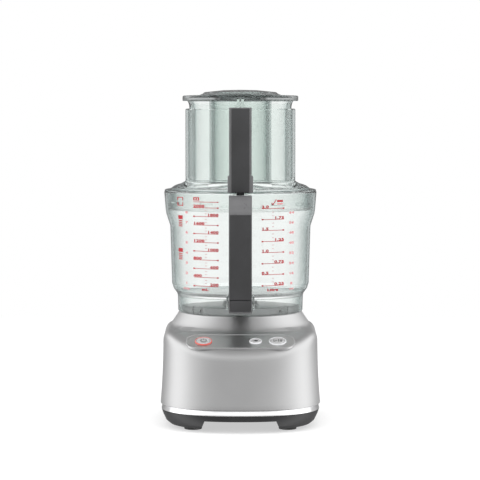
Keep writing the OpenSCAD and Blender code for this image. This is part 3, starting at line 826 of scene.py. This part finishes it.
def wallRadius(z):
    # outer radius of the bowl at height z, from its own outline
    path = rounded(bowlOutside, 6, closed=False)
    for a, b in zip(path, path[1:]):
        if min(a.y, b.y) <= z <= max(a.y, b.y) and abs(a.y - b.y) > 1e-6:
            return a.x + (b.x - a.x) * (z - a.y) / (b.y - a.y)
    return path[-1].x


radiusTable = [wallRadius(marks["tableLow"] + marks["tableStep"] * i) for i in range(marks["tableCount"])]


def ontoBowl(bm):
    # the print is drawn flat as (x, z), thickened along -y, then laid on the bowl's front
    grown = bmesh.ops.extrude_face_region(bm, geom=list(bm.faces))["geom"]
    bmesh.ops.translate(bm, vec=(0, -marks["thick"], 0), verts=vertsOf(grown))
    for vert in bm.verts:
        place = (vert.co.z - marks["tableLow"]) / marks["tableStep"]
        index = max(0, min(len(radiusTable) - 2, int(place)))
        radius = radiusTable[index] + (radiusTable[index + 1] - radiusTable[index]) * (place - index)
        radius += marks["lift"] - vert.co.y
        angle = math.asin(max(-0.99, min(0.99, vert.co.x / radius)))
        vert.co = (radius * math.sin(angle), -radius * math.cos(angle), vert.co.z)
    bmesh.ops.recalc_face_normals(bm, faces=bm.faces)
    return bm


def bar(x0, x1, z, width):
    # a line, cut into short lengths so that it can bend round the bowl
    bm = bmesh.new()
    cuts = max(1, int(abs(x1 - x0) / marks["barStep"]))
    bmesh.ops.create_grid(bm, x_segments=cuts, y_segments=1, size=0.5)
    bmesh.ops.scale(bm, vec=(abs(x1 - x0), width, 1), verts=bm.verts)
    bmesh.ops.transform(bm, matrix=Matrix.Rotation(math.pi / 2, 4, "X"), verts=bm.verts)
    bmesh.ops.translate(bm, vec=((x0 + x1) / 2, 0, z), verts=bm.verts)
    return bm


def slantBar(start, end, width):
    bm = bmesh.new()
    along = Vector((end[0] - start[0], end[1] - start[1]))
    side = Vector((-along.y, along.x)).normalized() * width / 2
    corners = [Vector(start) + side, Vector(start) - side, Vector(end) - side, Vector(end) + side]
    bm.faces.new([bm.verts.new((c.x, 0, c.y)) for c in corners])
    return bm


def number(text, x, z, height, align):
    curve = bpy.data.curves.new("number", "FONT")
    curve.body = text
    curve.size = height * marks["letterSize"]
    curve.align_x = align
    curve.resolution_u = 3
    curve.space_character = marks["letterSpace"]
    curve.offset = height * marks["letterBold"]
    letters = bpy.data.objects.new("number", curve)
    mesh = bpy.data.meshes.new_from_object(letters)
    bm = bmesh.new()
    bm.from_mesh(mesh)
    bpy.data.objects.remove(letters)
    bpy.data.curves.remove(curve)
    bpy.data.meshes.remove(mesh)
    bmesh.ops.scale(bm, vec=(marks["letterStretch"], 1, 1), verts=bm.verts)
    bmesh.ops.transform(bm, matrix=Matrix.Rotation(math.pi / 2, 4, "X"), verts=bm.verts)
    bmesh.ops.translate(bm, vec=(x, 0, z), verts=bm.verts)
    return bm


def scaleColumn(side, values, step, first):
    # a long line for each value, its number at one end and a dot at the other, in turn left and right
    x0, x1 = marks["columns"][side]
    parts = []
    for index, value in enumerate(values):
        z = first + step * index
        atLeft = index % 2 == 1
        parts.append(bar(x0, x1, z, marks["lineWidth"]))
        dotX = x1 - 0.8 if atLeft else x0 + 0.8
        parts.append(bar(dotX - 1.05, dotX + 1.05, z, 1.7))
        textX, align = (x0, "LEFT") if atLeft else (x1, "RIGHT")
        parts.append(number(value, textX, z + 0.6, marks["numberHeight"], align))
        if index < len(values) - 1:
            middle = (x0 + x1) / 2
            for share in (0.33, 0.67):
                parts.append(bar(middle - 1.2, middle + 1.2, z + step * share, 0.4))
    return parts


millilitres = [str(200 * (i + 1)) for i in range(10)]
litres = ["0.25", "0.5", "0.75", "1.0", "1.25", "1.5", "1.75", "2.0"]
redParts = scaleColumn("left", millilitres, marks["millilitreStep"], marks["lowZ"])
redParts += scaleColumn("right", litres, marks["litreStep"], marks["lowZ"] + 1)
leftX, leftEnd = marks["columns"]["left"]
topZ = marks["lowZ"] + marks["millilitreStep"] * 9 + 6.9
redParts += [bar(leftX, leftEnd, topZ, marks["lineWidth"]), bar(leftEnd - 1.6, leftEnd, topZ, 1.3)]
redParts += [bar(leftX, leftX + 7, topZ + z, 0.9) for z in (2.1, 5.1)]
redParts += [bar(leftX + x, leftX + x + 1.4, topZ + 3.6, 2.4) for x in (0, 2.8, 5.6)]
redParts += [number("mL", -42, 162.0, 3.1, "CENTER"), number("Litre", 38.4, 162.0, 3.1, "CENTER")]
for z in (249, 209):  # two symbols, reduced to plain bars
    redParts.append(bar(-74.5, -69, z, 4.6))
    redParts += [bar(-74, -69.5, z - drop, 1.2) for drop in (4.2, 6.4, 8.6, 10.8)]
redParts += [bar(-75.4, -68.4, z, 0.9) for z in (263.4, 273)]
redParts += [bar(x, x + 0.9, z, 3.6) for x in (-75.4, -69.3) for z in (265.4, 271)]
redParts += [slantBar((37, 267.5), (39, 265), 1.0), slantBar((38.6, 265), (42.6, 271.5), 1.0)]
redParts += [bar(43.5, 50.5, 269.6, 2.4)]
asPiece("volume_marks", ontoBowl(joined(*redParts)), "bowl", "red_light", material=redPrint)
paleParts = [bar(43.5, 50.5, 266.2, 1.5), number("cup", -64.5, 162.4, 2.6, "CENTER"),
             number("oz", 61, 162.4, 2.6, "CENTER")]
for index in range(8):
    z = marks["lowZ"] + 1.2 + 12.2 * index
    paleParts += [number(str(index + 1), -64.3, z, 2.8, "CENTER"),
                  number(str(8 * (index + 1)), 61, z, 2.8, "CENTER")]
asPiece("pale_volume_marks", ontoBowl(joined(*paleParts)), "bowl", "red_light", material=palePrint)
print("volume marks printed")


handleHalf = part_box("handle_frame")[1].x


def outerEdge(edge):
    # only the edges on the handle's two flanks are rounded, not those round the grip
    return all(abs(abs(v.co.x) - handleHalf) < 1e-4 for v in edge.verts)


softened("handle_frame", 1.7, 4, pick=outerEdge)
softened("handle_grip", 1.2, 4)
softened("handle_foot_cap", 1.0, 4)
softened("handle_rod", 0.4, 2)
print("handle softened")


chute = {
    "width": 132.6,
    "depth": 108,
    "corner": 36,
    "wall": 2.8,
    "middle": -12,
    "top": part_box("lid")[1].z / mm,
    "directions": 240,
    "farthest": 120.0,  # no ray is longer
    "halvings": 34,
}


def rectReach(angle, width, depth, radius):
    # how far a ray from the drive axis goes before it leaves a rounded rectangle about the chute's middle
    w, d = width / 2, depth / 2
    near, far = 0.0, chute["farthest"]
    for halving in range(chute["halvings"]):
        middle = (near + far) / 2
        x = abs(middle * math.cos(angle))
        y = abs(middle * math.sin(angle) - chute["middle"])
        inside = x < w and y < d
        if inside and x > w - radius and y > d - radius:
            inside = math.hypot(x - (w - radius), y - (d - radius)) < radius
        near, far = (middle, far) if inside else (near, middle)
    return near


angles = [2 * math.pi * i / chute["directions"] for i in range(chute["directions"])]


def chuteReach(inset):
    return [rectReach(a, chute["width"] - 2 * inset, chute["depth"] - 2 * inset, chute["corner"] - inset)
            for a in angles]


def polarRing(reaches, z):
    return [(r * math.cos(a), r * math.sin(a), z) for r, a in zip(reaches, angles)]


lid = {
    "dome": [(0, 289.4), (60, 289.2), (68.6, 288.2), (75.6, 286.6), (80.2, 284.9), (84.4, 281.9),
             (99, 281.9)],  # radius and height of its top, between the chute and the shoulder
    "domeEdge": 80.2,
    "innerEdge": 79.6,
    "under": 2.9,
}


def domeHeight(radius):
    for (r0, z0), (r1, z1) in zip(lid["dome"], lid["dome"][1:]):
        if radius <= r1:
            return z0 + (z1 - z0) * (radius - r0) / (r1 - r0)
    return lid["dome"][-1][1]


def domeRing(reaches, drop=0.0, further=0.0):
    # a ring that follows the dome, or lies under it by drop, as the dome is a little further out
    return [(r * math.cos(a), r * math.sin(a), domeHeight(r + further) - drop)
            for a, r in zip(angles, reaches)]


def lidRings():
    # down the chute's outside, out over the dome, round the rim and back to the chute's inside
    outer, inner, top = chuteReach(0), chuteReach(chute["wall"]), chute["top"]
    edge, inEdge = lid["domeEdge"], lid["innerEdge"]
    rings = [polarRing(inner, top - 1), polarRing(chuteReach(1.9), top), polarRing(chuteReach(0.9), top),
             polarRing(outer, top - 0.9)]
    rings += [polarRing(outer, z) for z in (360, 330, 300, 292.5)]
    for z, out in ((291.2, 0.4), (290.0, 1.2), (289.3, 2.4)):
        rings.append(polarRing([r + out for r in outer], z))
    for share in (0.3, 0.65):
        rings.append(domeRing([(o + 3) * (1 - share) + edge * share for o in outer]))
    shoulder = rounded([(edge, 284.9), (81.6, 284.0, 2), (84.4, 281.9, 2), (86.2, 281.1, 2),
                        (91.6, 280.2, 0.8), (92.6, 279.4, 0.6)], 5, closed=False)
    rim = rounded([(92.6, 279.2), (92.6, 278.7, 0.4), (87.4, 278.7, 0.4), (87.4, 259.4, 0.5),
                   (84.9, 259.4, 0.5), (84.9, 278.4, 3), (82.4, 281, 3), (inEdge, 282.4)], 5, closed=False)
    rings += [polarRing([p.x] * len(angles), p.y) for p in shoulder + rim]
    for share in (0.3, 0.7):
        rings.append(domeRing([inEdge * (1 - share) + min(o, 78.4) * share for o in outer], 2.8, 0.8))
    rings.append(domeRing([min(o, 78.2) for o in outer], lid["under"]))
    rings.append(polarRing([min(r, 77.4) for r in inner], 283.2))
    return rings


def lidBody():
    return joined(skin(lidRings()), *lugs((86.6, 88.1, -7, 7, 261, 264), 12, 0.4))


asPiece("lid_shell", lidBody(), "lid", "clear_plastic", hides=("lid",), sharpAngle=40)
softened("lid_seal", 0.3, 2)
softened("spine_frame", 1.3, 4, pick=lambda e: all(v.co.z > 0.2795 for v in e.verts))
softened("spine_cover", 0.8, 4)
softened("lid_rod", 0.4, 2)
print("lid and chute made")


# these springs shorten with the safety link
for springNode in ("rod_spring", "plunger_spring"):
    spring = softened(springNode, 0.0)
    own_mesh(spring)
print("springs made")


pusher = {
    "gap": chute["wall"] + 2.0,
    "wall": 2.5,
    "bottom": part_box("pusher_body")[0].z / mm,
    "tube": 38.0,
    "tubeInside": 35.6,
    "trayLow": 389.6,
    "lip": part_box("pusher_tray")[1].z / mm,
    "trayWider": 7,  # than the chute
    "trayDeeper": 5,
    "trayCorner": 39,
    "trayCrown": 1.5,
    "trayHalf": 70,
    "steps": 128,
}


def tubeReach(radius):
    # the same rays, to a circle about the chute's middle
    reaches = []
    for a in angles:
        away = chute["middle"] * math.sin(a)
        reaches.append(away + math.sqrt(away ** 2 - chute["middle"] ** 2 + radius ** 2))
    return reaches


def pusherRings():
    gap, wall = pusher["gap"], pusher["wall"]
    outer, inner = chuteReach(gap), chuteReach(gap + wall)
    tubeIn, tubeOut = tubeReach(pusher["tubeInside"]), tubeReach(pusher["tube"])
    low, high = pusher["bottom"], pusher["trayLow"] - 0.1
    rings = [polarRing(tubeIn, high), polarRing(tubeIn, low + 0.5), polarRing(tubeReach(36.4), low),
             polarRing(chuteReach(gap + 1.5), low), polarRing(chuteReach(gap + 0.4), low + 0.5),
             polarRing(outer, low + 1.6), polarRing(outer, 330), polarRing(outer, 379)]
    for step in range(1, 8):
        angle = math.pi / 2 * step / 7
        rings.append(polarRing(chuteReach(gap - 5.0 * (1 - math.cos(angle))), 379 + 10.4 * math.sin(angle)))
    rings.append(polarRing(chuteReach(gap - 2.2), high))
    rings.append(polarRing(chuteReach(gap + 0.6), high - 3.5))
    rings += [polarRing(inner, 378), polarRing(inner, low + 4),
              polarRing(chuteReach(gap + wall + 1), low + 3), polarRing(tubeReach(39), low + 3),
              polarRing(tubeOut, low + 4), polarRing(tubeOut, high)]
    return rings


asPiece("large_pusher_shell", skin(pusherRings()), "large_pusher", "clear_plastic", hides=("pusher_body",),
        sharpAngle=40)


def trayReach(outset):
    width = chute["width"] + pusher["trayWider"] + 2 * outset
    depth = chute["depth"] + pusher["trayDeeper"] + 2 * outset
    return [rectReach(a, width, depth, pusher["trayCorner"] + outset) for a in angles]


def trayRings():
    low, lip = pusher["trayLow"], pusher["lip"]
    section = rounded([(-3.4, low, 0.6), (-2.6, low - 1.7, 0.8), (0, low - 1.7, 2.2), (0, lip - 0.4, 2.9),
                       (-4.2, lip, 2.2), (-5.2, low + 2.4, 2)], 6, closed=False)
    hole = tubeReach(pusher["tubeInside"])
    rings = [polarRing(hole, low + 2.4), polarRing(hole, low)]
    for p in section:
        sag = pusher["trayCrown"] * max(0, (p.y - low) / (lip - low))  # the lip bows down to the sides
        rings.append([(x, y, z - sag * (x / pusher["trayHalf"]) ** 2)
                      for x, y, z in polarRing(trayReach(p.x), p.y)])
    return rings


def tongue():
    # an arm out over the column, and two prongs with a web between them
    arm = soften(box(-4.2, 4.2, -97.1, -66, 390, 392), 0.4)
    prongs = [soften(box(x, x + 3.2, -97.1, -94.1, 374.4, 391.6), 0.5) for x in (-4.2, 1.0)]
    web = box(-1.2, 1.2, -96.2, -95, 374.8, 391)
    return joined(arm, *prongs, web)


asPiece("large_pusher_tray", skin(trayRings()), "large_pusher", "smoke_plastic", hides=("pusher_tray",),
        sharpAngle=40)
asPiece("large_pusher_tongue", tongue(), "large_pusher", "clear_plastic")

cupPath = [(0, 287), (34.7, 287, 1.6), (34.7, 392.3), (32.4, 392.3), (32.4, 289.6, 1.4), (0, 289.6)]
chuteMiddle = (0, chute["middle"], 0)
asPiece("small_pusher_cup", moved(lathe(cupPath, pusher["steps"]), chuteMiddle), "small_pusher",
        "clear_plastic", hides=("small_pusher",))
capPath = [(0, 401.4), (20, 401.0, 20), (43.6, 398.6, 3), (45.4, 396.9, 0.8), (50.0, 395.0, 1.2),
           (50.0, 393.4, 0.8), (44, 392.4, 2), (33, 392.4), (33, 395, 1), (0, 396.4)]
asPiece("small_pusher_cap_piece", moved(lathe(capPath, pusher["steps"]), chuteMiddle), "small_pusher",
        "smoke_plastic", hides=("small_pusher_cap",))
print("pushers made")


softened("blade_hub", 0.5, 3)
for bladeNode in ("lower_blade", "upper_blade"):
    softened(bladeNode, 0.35, 2)
softened("drive_spindle", 0.3, 2)
softened("drive_coupling", 0.4, 2)
print("blade honed")


ground = {
    "size": 1.2,
    "height": -0.0002,  # just under the feet
    "dark": (0.45, 0.45, 0.45),
    "light": (0.47, 0.47, 0.47),
    "glow": 0.54,  # lifts the floor to white and leaves a soft shadow
}
floorShape = bmesh.new()
bmesh.ops.create_grid(floorShape, x_segments=1, y_segments=1, size=ground["size"])
floorMesh = bpy.data.meshes.new("floor")
floorShape.to_mesh(floorMesh)
floorShape.free()
floor = bpy.data.objects.new("floor", floorMesh)
floor.location.z = ground["height"]
floor.visible_glossy = False
bpy.context.scene.collection.objects.link(floor)
paleFloor = solidFinish("paleFloor", ground["dark"], ground["light"], (0.6, 0.7), grain=40, patchScale=2,
                        glow=(1, 1, 1), glowPower=ground["glow"])
paleFloor.node_tree.nodes["Principled BSDF"].inputs["Specular IOR Level"].default_value = 0
floorMesh.materials.append(paleFloor)
print("floor laid")
